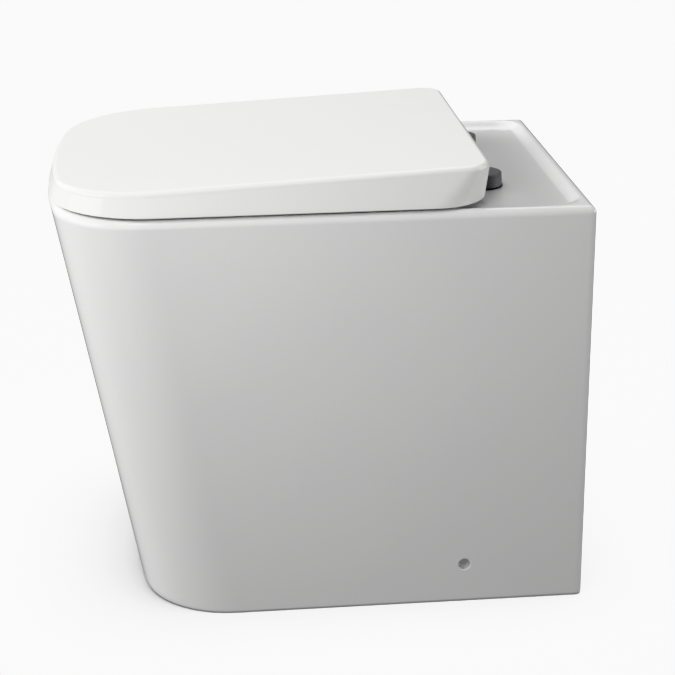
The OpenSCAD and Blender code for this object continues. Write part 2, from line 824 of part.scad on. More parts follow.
module release_button(side) {
    color(post_grey)
        on_side(side)
            translate([post_x, post_y, 0]) {
                difference() {
                    translate([-15.5, -6, latch_z])
                        cube([15.5 + latch_rear, 12, latch_t]);
                    translate([0, 0, latch_z - overlap]) {
                        translate([-button_travel, 0, 0])
                            cylinder(r = head_r + 0.2, h = latch_t + 2 * overlap);
                        cylinder(r = neck_r + 0.15, h = latch_t + 2 * overlap);
                        translate([-button_travel, -neck_r - 0.15, 0])
                            cube([button_travel, 2 * neck_r + 0.3, latch_t + 2 * overlap]);
                    }
                }
                translate([-post_r + post_draft / 2 - button_proud, 0, window_z0]) {
                    translate([button_half_w, -button_half_w, 0])
                        cube([4.5, 2 * button_half_w, window_h]);
                    intersection() {
                        translate([button_half_w, 0, 0])
                            cylinder(r = button_half_w, h = window_h);
                        translate([0, -button_half_w, 0])
                            cube([button_half_w, 2 * button_half_w, window_h]);
                    }
                }
            }
}

// a bowed leaf between the latch and the inside of the post
module button_spring(side) {
    leaf_r = 11.6;
    leaf_half_turn = 55;
    color(steel_grey)
        on_side(side)
            translate([post_x + latch_rear + 0.2 + leaf_r, post_y, latch_z - 0.3])
                rotate([0, 0, 180 - leaf_half_turn])
                    rotate_extrude(angle = 2 * leaf_half_turn)
                        translate([leaf_r - 0.4, 0]) square([0.4, 1.8]);
}

// ---------------------------------------------------------------- seat fixings
module hinge_gasket(side) {
    color(rubber_black)
        on_side(side)
            translate([post_x, post_y, gasket_z])
                difference() {
                    cylinder(r = post_r + 0.5, h = gasket_t);
                    translate([0, 0, -overlap])
                        cylinder(r = stud_r + 0.3, h = gasket_t + 2 * overlap);
                }
}

module base_plate(side) {
    color(steel_grey)
        on_side(side)
            translate([post_x, post_y, post_z])
                difference() {
                    cylinder(r = plate_r, h = plate_t);
                    translate([0, 0, -overlap])
                        linear_extrude(height = plate_t + 2 * overlap)
                            rotate([0, 0, 90])
                                slot_shape(2 * stud_r + 10, 2 * stud_r + 0.4);
                }
}

module fixing_stud(side) {
    color(steel_grey)
        on_side(side)
            translate([post_x, post_y, 0])
                rotate_extrude()
                    polygon([[0, plate_top_z - stud_len], [stud_r - 0.8, plate_top_z - stud_len],
                             [stud_r, plate_top_z - stud_len + 0.8], [stud_r, plate_top_z],
                             [8, plate_top_z], [8, plate_top_z + collar_t],
                             [neck_r, plate_top_z + collar_t], [neck_r, head_z],
                             [head_r, head_z], [head_r, head_z + head_t - 0.6],
                             [head_r - 0.6, head_z + head_t], [0, head_z + head_t]]);
}

// the sleeve bulges below the shelf, where the nut draws it up
nut_t = 7;
nut_z = plate_top_z - stud_len + 3;
sleeve_z = nut_z + nut_t + 0.1;

module expansion_sleeve(side) {
    bulge_r = fixing_hole_r + 3.2;
    bulge_top = rim_under_z - 0.3;
    color(rubber_black)
        on_side(side)
            translate([post_x, post_y, 0])
                rotate_extrude()
                    polygon([[stud_r + 0.1, sleeve_z], [fixing_hole_r - 0.4, sleeve_z],
                             [fixing_hole_r, sleeve_z + 3], [bulge_r, bulge_top - 10],
                             [bulge_r + 0.6, bulge_top - 6], [bulge_r, bulge_top - 2],
                             [bulge_r - 1.4, bulge_top], [fixing_hole_r - 0.1, bulge_top],
                             [fixing_hole_r - 0.1, gasket_z - 0.1], [stud_r + 0.1, gasket_z - 0.1]]);
}

module clamp_nut(side) {
    color(brass)
        on_side(side)
            translate([post_x, post_y, nut_z])
                difference() {
                    cylinder(r = fixing_hole_r - 0.3, h = nut_t, $fn = 6);
                    translate([0, 0, -overlap])
                        cylinder(r = stud_r + 0.05, h = nut_t + 2 * overlap);
                }
}

pan_rim();
pan_front();
pan_side(-1);  // pan_side_left
pan_side(1);  // pan_side_right
bowl();
trapway();
outlet_spigot();
flush_horn();
lid();
seat();
seat_buffers();
lid_buffers();
hinge_post(-1);  // hinge_post_left
hinge_post(1);  // hinge_post_right
hinge_pin(-1);  // hinge_pin_left
hinge_pin(1);  // hinge_pin_right
soft_close_damper(-1);  // soft_close_damper_left
soft_close_damper(1);  // soft_close_damper_right
release_button(-1);  // release_button_left
release_button(1);  // release_button_right
button_spring(-1);  // button_spring_left
button_spring(1);  // button_spring_right
hinge_gasket(-1);  // hinge_gasket_left
hinge_gasket(1);  // hinge_gasket_right
base_plate(-1);  // base_plate_left
base_plate(1);  // base_plate_right
fixing_stud(-1);  // fixing_stud_left
fixing_stud(1);  // fixing_stud_right
expansion_sleeve(-1);  // expansion_sleeve_left
expansion_sleeve(1);  // expansion_sleeve_right
clamp_nut(-1);  // clamp_nut_left
clamp_nut(1);  // clamp_nut_right
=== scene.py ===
"""A back to wall toilet in glazed china, with a wrap-over soft-close lid. Lengths are in millimetres
until a mesh is made, X runs across, -Y is the front, +Y is the wall and +Z is up."""
import json
import math

import bmesh
import bpy
import numpy as np
from mathutils import Matrix, Vector


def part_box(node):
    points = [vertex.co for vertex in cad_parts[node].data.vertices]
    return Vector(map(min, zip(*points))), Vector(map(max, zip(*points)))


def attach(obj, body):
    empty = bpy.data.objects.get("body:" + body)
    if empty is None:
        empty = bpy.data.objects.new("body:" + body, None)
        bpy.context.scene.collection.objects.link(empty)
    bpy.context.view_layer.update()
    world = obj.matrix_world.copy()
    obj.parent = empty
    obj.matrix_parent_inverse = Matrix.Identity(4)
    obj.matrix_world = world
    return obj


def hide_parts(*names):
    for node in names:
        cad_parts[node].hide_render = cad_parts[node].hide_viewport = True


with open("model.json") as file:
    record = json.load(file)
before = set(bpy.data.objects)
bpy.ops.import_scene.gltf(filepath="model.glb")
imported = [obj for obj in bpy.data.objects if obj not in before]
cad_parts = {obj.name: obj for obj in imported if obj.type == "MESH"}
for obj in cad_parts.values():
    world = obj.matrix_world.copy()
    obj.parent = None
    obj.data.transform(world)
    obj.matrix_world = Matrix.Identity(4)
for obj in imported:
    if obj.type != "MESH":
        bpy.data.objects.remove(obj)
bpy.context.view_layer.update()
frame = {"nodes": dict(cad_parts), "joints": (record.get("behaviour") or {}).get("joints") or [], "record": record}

MM = 0.001


# ------------------------------------------------------------------ places from the frame
def node_box(name):
    """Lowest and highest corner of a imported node, in millimetres."""
    low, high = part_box(name)
    return [v / MM for v in low], [v / MM for v in high]


def joint_place(name):
    """A point on a packed joint's axis, in millimetres."""
    joint = next(joint for joint in frame["joints"] if joint["name"] == name)
    return [v / MM for v in joint["pos_m"]]


PAN_LOW, PAN_HIGH = node_box("pan_rim")
PAN_HALF = PAN_HIGH[0]
PAN_H = PAN_HIGH[2]
FRONT_Y, WALL_Y = PAN_LOW[1], PAN_HIGH[1]
AXIS_Y, AXIS_Z = joint_place("seat_hinge")[1:]
# Each hinge post stands in the middle of its round gasket.
GASKET_LOW, GASKET_HIGH = node_box("hinge_gasket_right")
POST_X = (GASKET_LOW[0] + GASKET_HIGH[0]) / 2
POST_Y = (GASKET_LOW[1] + GASKET_HIGH[1]) / 2


def from_wall(distance):
    """The Y that lies a distance in front of the wall."""
    return WALL_Y - distance


# ------------------------------------------------------------------ outlines and rings
# An outline is the pan's, lid's or seat's shape seen from above, in six numbers: half width, front y,
# rear y, front corner radius, radius of the front's bow, and rear corner radius. A ring is an outline
# with its height and the slope of its height along Y.
HALF, FRONT, REAR, CORNER_R, BOW_R, REAR_R, HEIGHT, SLOPE = range(8)
LEAST_CORNER_R = 1
LEAST_BOW_R = 2
TURN_RINGS = 6
# How many steps there are on each stretch of half an outline.
REAR_POINTS = 44
REAR_CORNER_POINTS = 10
SIDE_POINTS = 56
FRONT_CORNER_POINTS = 44
BOW_POINTS = 26


def arc(x, y, radius, start, end, count):
    """Points on an arc round a centre, both ends included."""
    angles = np.linspace(start, end, count + 1)
    return np.column_stack([x + radius * np.cos(angles), y + radius * np.sin(angles)])


def line(start, end, count):
    """Points on a straight line, both ends included."""
    share = np.linspace(0, 1, count + 1)[:, None]
    return np.array(start) * (1 - share) + np.array(end) * share


def half_outline(outline):
    """The right half of an outline, from the middle of the back round to the middle of the front."""
    half, front, rear, corner_r, bow_r, rear_r = outline
    corner_x = half - corner_r
    reach = bow_r - corner_r
    corner_y = front + bow_r - math.sqrt(reach ** 2 - corner_x ** 2)
    turn = math.acos(corner_x / reach)
    stretches = [
        line((0, rear), (half - rear_r, rear), REAR_POINTS),
        arc(half - rear_r, rear - rear_r, rear_r, math.pi / 2, 0, REAR_CORNER_POINTS),
        line((half, rear - rear_r), (half, corner_y), SIDE_POINTS),
        arc(corner_x, corner_y, corner_r, 0, -turn, FRONT_CORNER_POINTS),
        arc(0, front + bow_r, bow_r, -turn, -math.pi / 2, BOW_POINTS),
    ]
    return np.vstack([stretch[:-1] for stretch in stretches] + [stretches[-1][-1:]])


def outline_points(outline):
    """All of an outline's points: its right half and the mirror image."""
    half = half_outline(outline)
    return np.vstack([half, half[-2:0:-1] * (-1, 1)])


def inset(outline, distance):
    """An outline moved inwards; a distance below 0 moves it out."""
    half, front, rear, corner_r, bow_r, rear_r = outline
    return np.array([half - distance, front + distance, rear - distance,
                     max(corner_r - distance, LEAST_CORNER_R), max(bow_r - distance, LEAST_BOW_R),
                     max(rear_r - distance, LEAST_CORNER_R)])


def mix(a, b, share):
    """A value part of the way from one to another."""
    return np.asarray(a) * (1 - share) + np.asarray(b) * share


def smooth(share):
    """A share from 0 to 1 that starts and ends gently."""
    return share * share * (3 - 2 * share)


def ring(outline, z, slope=0.0):
    """An outline set at a height."""
    return np.array([*outline, z, slope])


def ring_points(values):
    """A ring's points in space."""
    plan = outline_points(values[:HEIGHT])
    return np.column_stack([plan, values[HEIGHT] + values[SLOPE] * plan[:, 1]])


def quarter_round(outline, flat_z, reach, lift, steps, slope=0.0):
    """Rings over a rounded edge, from its side to its flat face. A reach above 0 turns inwards and one
    below 0 outwards, and the side starts at a lift above the flat, or below it for a lift below 0."""
    return [ring(inset(outline, reach * (1 - math.cos(a))), flat_z + lift * (1 - math.sin(a)), slope)
            for a in np.linspace(0, math.pi / 2, steps + 1)]


def spread(first, last, count, power=1.0):
    """Rings between two, without either; a power above 1 crowds them near the first."""
    return [mix(first, last, (i / (count + 1)) ** power) for i in range(1, count + 1)]


def towards(here, there, distance):
    """A ring moved a distance towards another, but less than half of the way."""
    reach = math.hypot(there[HALF] - here[HALF], there[HEIGHT] - here[HEIGHT])
    return mix(here, there, min(0.45, distance / max(reach, 0.01)))


def softened(rings, radius):
    """Rounds each turn of a run of rings with a short curve, as the casting slip and the glaze do."""
    made = [rings[0]]
    for before, here, after in zip(rings, rings[1:], rings[2:]):
        start = towards(here, before, radius)
        end = towards(here, after, radius)
        for t in np.linspace(0, 1, TURN_RINGS):
            made.append(start * (1 - t) ** 2 + here * 2 * t * (1 - t) + end * t ** 2)
    return made + [rings[-1]]


# ------------------------------------------------------------------ meshes
SAME_PLACE_M = 1e-7
# Faces that meet at more than this many degrees keep a sharp edge in the shading.
SHARP_ANGLE = 32
FLAT_FACE_WEIGHT = 60


def mesh_object(name, vertices, faces):
    """A mesh piece from points in millimetres, with its faces turned outwards."""
    mesh = bpy.data.meshes.new(name)
    mesh.from_pydata((np.asarray(vertices) * MM).tolist(), [], faces)
    work = bmesh.new()
    work.from_mesh(mesh)
    bmesh.ops.remove_doubles(work, verts=work.verts, dist=SAME_PLACE_M)
    bmesh.ops.recalc_face_normals(work, faces=work.faces)
    work.to_mesh(mesh)
    work.free()
    piece = bpy.data.objects.new(name, mesh)
    bpy.context.scene.collection.objects.link(piece)
    return piece


def bands(layer_count, count, closed):
    """Four-sided faces between each layer of points and the next."""
    faces = []
    for layer in range(layer_count if closed else layer_count - 1):
        lower, upper = layer * count, (layer + 1) % layer_count * count
        for k in range(count):
            after = (k + 1) % count
            faces.append((lower + k, upper + k, upper + after, lower + after))
    return faces


def skin_of_layers(name, layers, closed=False):
    """A solid through layers of points, each with the same count: capped, or closed into a loop."""
    count = len(layers[0])
    faces = bands(len(layers), count, closed)
    if not closed:
        last = (len(layers) - 1) * count
        faces += [tuple(range(count)), tuple(range(last + count - 1, last - 1, -1))]
    return mesh_object(name, np.vstack(layers), faces)


def loft(name, rings, closed=False):
    """A solid through rings."""
    return skin_of_layers(name, [ring_points(values) for values in rings], closed)


def tube(name, path, radius, sides=72):
    """A round bar along a path that lies in a plane of constant X."""
    ahead = np.gradient(path, axis=0)
    ahead /= np.linalg.norm(ahead, axis=1)[:, None]
    angles = np.linspace(0, 2 * math.pi, sides, endpoint=False)[:, None]
    side = np.array([1.0, 0, 0])
    layers = []
    for point, way in zip(path, ahead):
        up = np.cross(side, way)
        layers.append(point + radius * (np.cos(angles) * side + np.sin(angles) * up))
    return skin_of_layers(name, layers)


def turned(name, profile, place, axis, sides=96):
    """A solid of revolution: profile points are distance along the axis and radius."""
    along = Vector(axis)
    across = Vector((0, 0, 1)) if abs(along.z) < 0.5 else Vector((1, 0, 0))
    other = along.cross(across)
    layers = []
    for distance, radius in profile:
        centre = Vector(place) + along * distance
        layers.append([centre + (across * math.cos(a) + other * math.sin(a)) * radius
                       for a in np.linspace(0, 2 * math.pi, sides, endpoint=False)])
    return skin_of_layers(name, [np.array(layer) for layer in layers])


def slot_bar(name, size, start_y, end_y, z, corner_r):
    """A bar along Y in the middle of the width, with rounded corners in section."""
    width, height = size
    sides, layer_count = 64, 12
    turns = np.linspace(0, 2 * math.pi, sides, endpoint=False)
    x = np.sign(np.cos(turns)) * (width / 2 - corner_r) + corner_r * np.cos(turns)
    up = np.sign(np.sin(turns)) * (height / 2 - corner_r) + corner_r * np.sin(turns)
    layers = [np.column_stack([x, np.full(sides, y), z + up])
              for y in np.linspace(start_y, end_y, layer_count)]
    return skin_of_layers(name, layers)


def rounded_bar(name, start_y, end_y, z, radius, edge_r):
    """A round bar along Y in the middle of the width, whose far end has a rounded edge."""
    side_end = end_y - start_y - edge_r
    profile = [(0, radius), (side_end, radius)]
    profile += [(side_end + edge_r * math.sin(a), radius - edge_r * (1 - math.cos(a)))
                for a in np.linspace(0.1, math.pi / 2, 7)]
    return turned(name, profile, (0, start_y, z), (0, 1, 0))


def flared_cut(name, place, axis, radius, depth, lip):
    """A cutter that reaches a depth into a surface, and whose mouth there flares out with a soft lip."""
    profile = [(-depth, radius), (-lip, radius)]
    profile += [(-lip + lip * math.sin(a), radius + lip * (1 - math.cos(a)))
                for a in np.linspace(0.08, math.pi / 2 - 0.12, 9)]
    # The lip stops short of lying flat on the surface, so that the cutter can go on past it.
    mouth, mouth_r = profile[-1]
    profile.append((mouth + 4, mouth_r + 0.6))
    return turned(name, profile, place, axis)


def baked(piece):
    """Applies the piece's modifiers to its mesh."""
    bpy.context.view_layer.update()
    shape = piece.evaluated_get(bpy.context.evaluated_depsgraph_get())
    done = bpy.data.meshes.new_from_object(shape)
    piece.modifiers.clear()
    piece.data = done
    return piece


def combine(piece, tools, operation):
    """Adds the tools to the piece or cuts them from it, and removes them."""
    for tool in tools:
        change = piece.modifiers.new(operation.lower(), "BOOLEAN")
        change.operation = operation
        change.solver = "MANIFOLD"
        change.object = tool
    baked(piece)
    for tool in tools:
        bpy.data.objects.remove(tool)
    return piece


def shaded(piece):
    """Smooth shading with true normals on the flats, and an edge where faces meet sharply."""
    mesh = piece.data
    mesh.shade_smooth()
    mesh.set_sharp_from_angle(angle=math.radians(SHARP_ANGLE))
    weigh = piece.modifiers.new("weighted normals", "WEIGHTED_NORMAL")
    weigh.mode = "FACE_AREA"
    weigh.keep_sharp = True
    weigh.weight = FLAT_FACE_WEIGHT
    return baked(piece)


# ------------------------------------------------------------------ pan
FRONT_RAKE = math.tan(math.radians(9.9))
RIM_EDGE_R = 7.5
FOOT_EDGE_R = 2.5
CHINA_WALL = 12
RIM_THICK = 20
RIM_UNDER_Z = PAN_H - RIM_THICK
RIM_RINGS = 84
RIM = np.array([PAN_HALF, FRONT_Y, WALL_Y, 90, 580, 6.5])
SKIN_RINGS = 30
SKIN_BAND = 24
FOOT_W = 22
FOOT_RISE = 14

# A band goes down from the mouth in the rim to a ledge, and the bowl curves in from the ledge to its
# waist, above the well.
MOUTH = np.array([120, FRONT_Y + 48, from_wall(178), 85, 160, 90])
MOUTH_EDGE_R = 6
BAND_Z = PAN_H - 42
LEDGE_W = 14
BOWL_TOP = inset(MOUTH, LEDGE_W)
BOWL_TOP_Z = BAND_Z - 12
BOWL_WALL = 12
BOWL_DROP = 8
BOWL_SWEEP = math.radians(70)
BOWL_STEPS = 22
WELL_FLOOR_Z = 90
WELL_WALL = BOWL_WALL + 4
WELL_SWEEP = math.radians(80)
WELL_STEPS = 12
WAIST_Z = WELL_FLOOR_Z + 82
WAIST = np.array([50, from_wall(352), from_wall(252), 38, 70, 36])
WELL_FLOOR = np.array([30, from_wall(324), from_wall(258), 20, 44, 22])

# The shelf behind the lid is sunk into the rim's top, and the hinge posts stand on it.
SHELF_DEPTH = 5
SHELF_SLOPE_W = 13
SHELF_CORNER_R = 28
SHELF_HALF = PAN_HALF - 9
SHELF_FRONT_Y = from_wall(152)
SHELF_REAR_Y = from_wall(8)

# Water leaves the well through the trap's dip, rises over the weir and falls into the outlet's chamber.
OUTLET_Z = 180
OUTLET_R = 51
OUTLET_BORE_R = 42
OUTLET_Y = from_wall(40)
SPIGOT_LEN = 37
SHOULDER_H = 4
TRAP_R = 26
TRAP_WALL = 9
TRAP_BEND_R = 48
TRAP_MIDDLE_Y = from_wall(194)
TRAP_START_Y = from_wall(250)
WATER_START_Y = from_wall(290)
DIP_Z = WELL_FLOOR_Z - 2 + TRAP_R
WEIR_Z = OUTLET_Z - 6
WEIR_TURN = math.radians(50)
CHAMBER_Y = TRAP_MIDDLE_Y + 2 * TRAP_BEND_R - TRAP_R + 4

# The flush comes in by the horn at the back, and reaches the bowl's ledge through a flat slot.
INLET_Z = PAN_H - 55
INLET_R = 27.5
INLET_Y = from_wall(50)
INLET_LEN = 60
INLET_END_Y = INLET_Y - INLET_LEN
FLUSH_SLOT_W, FLUSH_SLOT_H = 90, 20
FLUSH_SLOT_Y = MOUTH[REAR] - LEDGE_W - 12
DUCT_W = FLUSH_SLOT_W + 2 * TRAP_WALL
DUCT_H = 2 * FLUSH_SLOT_H + 4 * TRAP_WALL
DUCT_Y = from_wall(182)
DUCT_Z = RIM_UNDER_Z + 2 + TRAP_WALL - DUCT_H / 2
DUCT_CORNER_R = 14

PIPE_EDGE_R = 3
PIPE_LIP_R = 2.5
SIDE_HOLE_Y, SIDE_HOLE_Z = from_wall(118.5), 40
SIDE_HOLE_R = 6
SIDE_HOLE_LIP_R = 0.7
FIXING_HOLE_R = 7.5
FIXING_HOLE_LIP_R = 1
CUT_PAST = 4
REAR_OPENING_HALF = PAN_HALF - 30
REAR_OPENING_CORNER_R = 25
REAR_LIP_R = 3.5


def skin_outline(z):
    """The outer skin's outline at a height: the front leans back, the sides stay upright."""
    moved = RIM.copy()
    moved[FRONT] += (PAN_H - RIM_EDGE_R - z) * FRONT_RAKE
    return moved


def bowl_ring(share, growth=0.0, drop=0.0):
    """A ring of the bowl between its top at share 0 and its waist at share 1."""
    turn = BOWL_SWEEP * share
    outline = mix(BOWL_TOP, WAIST, (1 - math.cos(turn)) / (1 - math.cos(BOWL_SWEEP)))
    z = mix(BOWL_TOP_Z, WAIST_Z, math.sin(turn) / math.sin(BOWL_SWEEP))
    return ring(inset(outline, -growth), z - drop)


def well_ring(share, growth=0.0, floor=WELL_FLOOR_Z):
    """A ring of the well between the waist at share 0 and the floor at share 1."""
    turn = WELL_SWEEP * share
    outline = mix(WAIST, WELL_FLOOR, 1 - math.cos(turn))
    return ring(inset(outline, -growth), mix(WAIST_Z, floor, math.sin(turn) / math.sin(WELL_SWEEP)))


def pan_inside():
    """From the well's floor up the bowl, over its ledge and up the band to the mouth."""
    rings = [well_ring(i / WELL_STEPS) for i in range(WELL_STEPS, 0, -1)]
    rings += [bowl_ring(i / BOWL_STEPS) for i in range(BOWL_STEPS, 0, -1)]
    ledge = [bowl_ring(0),
             ring(inset(MOUTH, LEDGE_W - 4), BOWL_TOP_Z + 4),
             ring(inset(MOUTH, 3), BOWL_TOP_Z + 6),
             ring(MOUTH, BAND_Z),
             ring(MOUTH, PAN_H - MOUTH_EDGE_R - 4)]
    rings += softened(ledge, 4)
    return rings + quarter_round(MOUTH, PAN_H, -MOUTH_EDGE_R, -MOUTH_EDGE_R, steps=10)


def pan_skin():
    """Down the outside, from below the rim's edge to the foot's face."""
    heights = [PAN_H - RIM_EDGE_R - 1.5, PAN_H - RIM_EDGE_R - 5]
    heights += list(np.linspace(PAN_H - SKIN_BAND, SKIN_BAND, SKIN_RINGS))
    heights += [FOOT_EDGE_R + 5, FOOT_EDGE_R + 1.5]
    rings = [ring(skin_outline(z), z) for z in heights]
    return rings + quarter_round(skin_outline(0), 0, FOOT_EDGE_R, FOOT_EDGE_R, steps=6)


def pan_hollow():
    """From the foot's inner edge up the inside of the skin, under the rim and down round the bowl."""
    rings = softened([
        ring(inset(skin_outline(0), FOOT_W), 0),
        ring(inset(skin_outline(FOOT_RISE), FOOT_W), FOOT_RISE),
        ring(inset(skin_outline(2 * FOOT_RISE), CHINA_WALL), 2 * FOOT_RISE),
        ring(inset(skin_outline(RIM_UNDER_Z - 8), CHINA_WALL), RIM_UNDER_Z - 8),
        ring(inset(skin_outline(RIM_UNDER_Z), CHINA_WALL + 8), RIM_UNDER_Z),
        ring(inset(MOUTH, -BOWL_WALL), RIM_UNDER_Z),
        ring(inset(MOUTH, -BOWL_WALL), BAND_Z - 4),
        bowl_ring(0, BOWL_WALL, BOWL_DROP)], 5)
    rings += [bowl_ring(i / BOWL_STEPS, mix(BOWL_WALL, WELL_WALL, i / BOWL_STEPS), BOWL_DROP)
              for i in range(1, BOWL_STEPS + 1)]
    rings += [well_ring(i / WELL_STEPS, WELL_WALL, WELL_FLOOR_Z - WELL_WALL)
              for i in range(2, WELL_STEPS + 1)]
    return rings


def pan_casting():
    """The pan as one skin, with a fine net of rings over the rim for the shelf that is sunk in it."""
    inside = pan_inside()
    edge = quarter_round(RIM, PAN_H, RIM_EDGE_R, -RIM_EDGE_R, steps=14)[::-1]
    rim_top = spread(edge[0], inside[-1], RIM_RINGS, 1.25)[::-1]
    return loft("pan_casting", inside + rim_top + edge + pan_skin() + pan_hollow())


def sink_shelf(piece):
    """Lowers the rim's top behind the lid into a shallow dish with soft sides."""
    mesh = piece.data
    places = np.zeros(len(mesh.vertices) * 3)
    mesh.vertices.foreach_get("co", places)
    places = places.reshape(-1, 3) / MM
    middle_y = (SHELF_REAR_Y + SHELF_FRONT_Y) / 2
    half_depth = (SHELF_REAR_Y - SHELF_FRONT_Y) / 2
    away = np.abs(places[:, :2] - (0, middle_y))
    away -= (SHELF_HALF - SHELF_CORNER_R, half_depth - SHELF_CORNER_R)
    outside = np.linalg.norm(np.maximum(away, 0), axis=1) + np.minimum(away.max(axis=1), 0)
    share = smooth(np.clip((SHELF_CORNER_R - outside) / SHELF_SLOPE_W, 0, 1))
    on_top = places[:, 2] > PAN_H - 0.01
    places[:, 2] -= np.where(on_top, SHELF_DEPTH * share, 0)
    mesh.vertices.foreach_set("co", (places * MM).ravel())


def trap_line(start_y):
    """The trap's centre line: in from the well, up, over the weir and down into the outlet chamber."""
    dip_y = TRAP_MIDDLE_Y - TRAP_BEND_R
    bend_z = DIP_Z + TRAP_BEND_R
    path = np.vstack([
        line((start_y, DIP_Z), (dip_y, DIP_Z), 5)[:-1],
        arc(dip_y, bend_z, TRAP_BEND_R, -math.pi / 2, 0, 16),
        line((TRAP_MIDDLE_Y, bend_z), (TRAP_MIDDLE_Y, WEIR_Z), 3)[1:-1],
        arc(TRAP_MIDDLE_Y + TRAP_BEND_R, WEIR_Z, TRAP_BEND_R, math.pi, math.pi / 2 - WEIR_TURN, 22)])
    return np.column_stack([np.zeros(len(path)), path])


def rear_cut():
    """Opens the back from the floor up, with rounded edges on both faces of the wall."""
    half, top, corner_r, lip = REAR_OPENING_HALF, RIM_UNDER_Z, REAR_OPENING_CORNER_R, REAR_LIP_R
    # Each station is a distance from the wall face and how much wider the opening is there: well inside
    # the hollow, round the wall's inner edge, round its outer edge, and past the wall face.
    stations = [(-CHINA_WALL - 14, lip)]
    stations += [(-CHINA_WALL + lip * (1 - math.cos(a)), lip * (1 - math.sin(a)))
                 for a in np.linspace(0.41, math.pi / 2, 6)]
    stations += [(-lip + lip * math.sin(a), lip * (1 - math.cos(a)))
                 for a in np.linspace(0, math.pi / 2 - 0.15, 7)]
    stations.append((3, lip))
    layers = []
    for behind, growth in stations:
        radius = corner_r + growth
        left_top = arc(-half + corner_r, top - corner_r, radius, math.pi, math.pi / 2, 12)
        right_top = arc(half - corner_r, top - corner_r, radius, math.pi / 2, 0, 12)
        feet = np.array([(half + growth, -CUT_PAST), (-half - growth, -CUT_PAST)])
        plan = np.vstack([left_top, right_top, feet])
        layers.append(np.column_stack([plan[:, 0], np.full(len(plan), WALL_Y + behind), plan[:, 1]]))
    return skin_of_layers("rear_cut", layers)


def waterways():
    """The trap, the outlet and the flush inlet with its duct, as solid bars to join to the pan."""
    return [
        tube("trap", trap_line(TRAP_START_Y), TRAP_R + TRAP_WALL),
        rounded_bar("chamber", CHAMBER_Y - TRAP_WALL, OUTLET_Y - SPIGOT_LEN, OUTLET_Z,
                    OUTLET_R + SHOULDER_H, PIPE_EDGE_R),
        rounded_bar("spigot", CHAMBER_Y, OUTLET_Y, OUTLET_Z, OUTLET_R, PIPE_EDGE_R),
        rounded_bar("horn", INLET_END_Y - TRAP_WALL, INLET_Y, INLET_Z, INLET_R + TRAP_WALL,
                    PIPE_EDGE_R),
        slot_bar("duct", (DUCT_W, DUCT_H), DUCT_Y, INLET_END_Y + TRAP_WALL, DUCT_Z, DUCT_CORNER_R),
    ]


def passages():
    """The room for the water in them, and the open back."""
    return [
        tube("trap_water", trap_line(WATER_START_Y), TRAP_R),
        flared_cut("outlet_bore", (0, OUTLET_Y, OUTLET_Z), (0, 1, 0), OUTLET_BORE_R,
                   OUTLET_Y - CHAMBER_Y, PIPE_LIP_R),
        flared_cut("inlet_bore", (0, INLET_Y, INLET_Z), (0, 1, 0), INLET_R, INLET_LEN, PIPE_LIP_R),
        slot_bar("flush_slot", (FLUSH_SLOT_W, FLUSH_SLOT_H), FLUSH_SLOT_Y, INLET_END_Y + 2, INLET_Z,
                 FLUSH_SLOT_H / 2),
        rear_cut(),
    ]


def screw_holes(side):
    """The hole for the floor fixing and the one for the hinge's stud, on one side."""
    return [
        flared_cut(f"side_hole_{side}", (side * PAN_HALF, SIDE_HOLE_Y, SIDE_HOLE_Z), (side, 0, 0),
                   SIDE_HOLE_R, CHINA_WALL + CUT_PAST, SIDE_HOLE_LIP_R),
        flared_cut(f"fixing_hole_{side}", (side * POST_X, POST_Y, PAN_H - SHELF_DEPTH), (0, 0, 1),
                   FIXING_HOLE_R, RIM_THICK + CUT_PAST, FIXING_HOLE_LIP_R),
    ]


def glazed_pan():
    """The whole pan, as the one piece that its sections fire into."""
    pan = pan_casting()
    sink_shelf(pan)
    combine(pan, waterways(), "UNION")
    combine(pan, passages() + screw_holes(-1) + screw_holes(1), "DIFFERENCE")
    return shaded(pan)


# ------------------------------------------------------------------ lid and seat
LID_SETBACK = 96.5
LID_DRAFT = 4.5
LID_EDGE_R = 5
LID_WALL = 4.5
LID_FRONT_H = 21.5
LID_REAR_H = 40.5
LID_GAP = 2.4
LID_FOOT = np.array([PAN_HALF - 1.5, FRONT_Y + 1.5, from_wall(LID_SETBACK), 98, 700, 52])
LID_TOP = np.array([LID_FOOT[HALF] - LID_DRAFT, LID_FOOT[FRONT] + LID_DRAFT, LID_FOOT[REAR],
                    LID_FOOT[CORNER_R] - LID_DRAFT, LID_FOOT[BOW_R] - LID_DRAFT, 24])
LID_SLOPE = (LID_REAR_H - LID_FRONT_H) / (LID_FOOT[REAR] - LID_FOOT[FRONT])
LID_TOP_Z = PAN_H + LID_FRONT_H - LID_SLOPE * LID_FOOT[FRONT]
LID_UNDER_Z = LID_TOP_Z - LID_WALL
LID_BOTTOM_Z = PAN_H + LID_GAP
LID_FOOT_R = 1.2
LID_FOOT_INNER_R = 0.6
LID_CORNER_FILL = 5
LID_MIDDLE = inset(LID_TOP, 168)
REAR_GAP_W = 224
REAR_GAP_H = 40
REAR_GAP_CORNER_R = 4

# Along each hinge pin, from the middle of the toilet outwards: the lid's knuckle, the post's barrel and
# the seat's knuckle.
KNUCKLE_R = 8.5
KNUCKLE_LEN = 12
LUG_EDGE_R = 0.8
PIN_R = 3
PIN_CLEARANCE = 0.06
BARREL_LEN = 21
SIDE_GAP = 0.4
BARREL = (POST_X - BARREL_LEN / 2, POST_X + BARREL_LEN / 2)
SEAT_KNUCKLE = (BARREL[1] + SIDE_GAP, BARREL[1] + SIDE_GAP + KNUCKLE_LEN)
LID_KNUCKLE = (BARREL[0] - SIDE_GAP - KNUCKLE_LEN, BARREL[0] - SIDE_GAP)

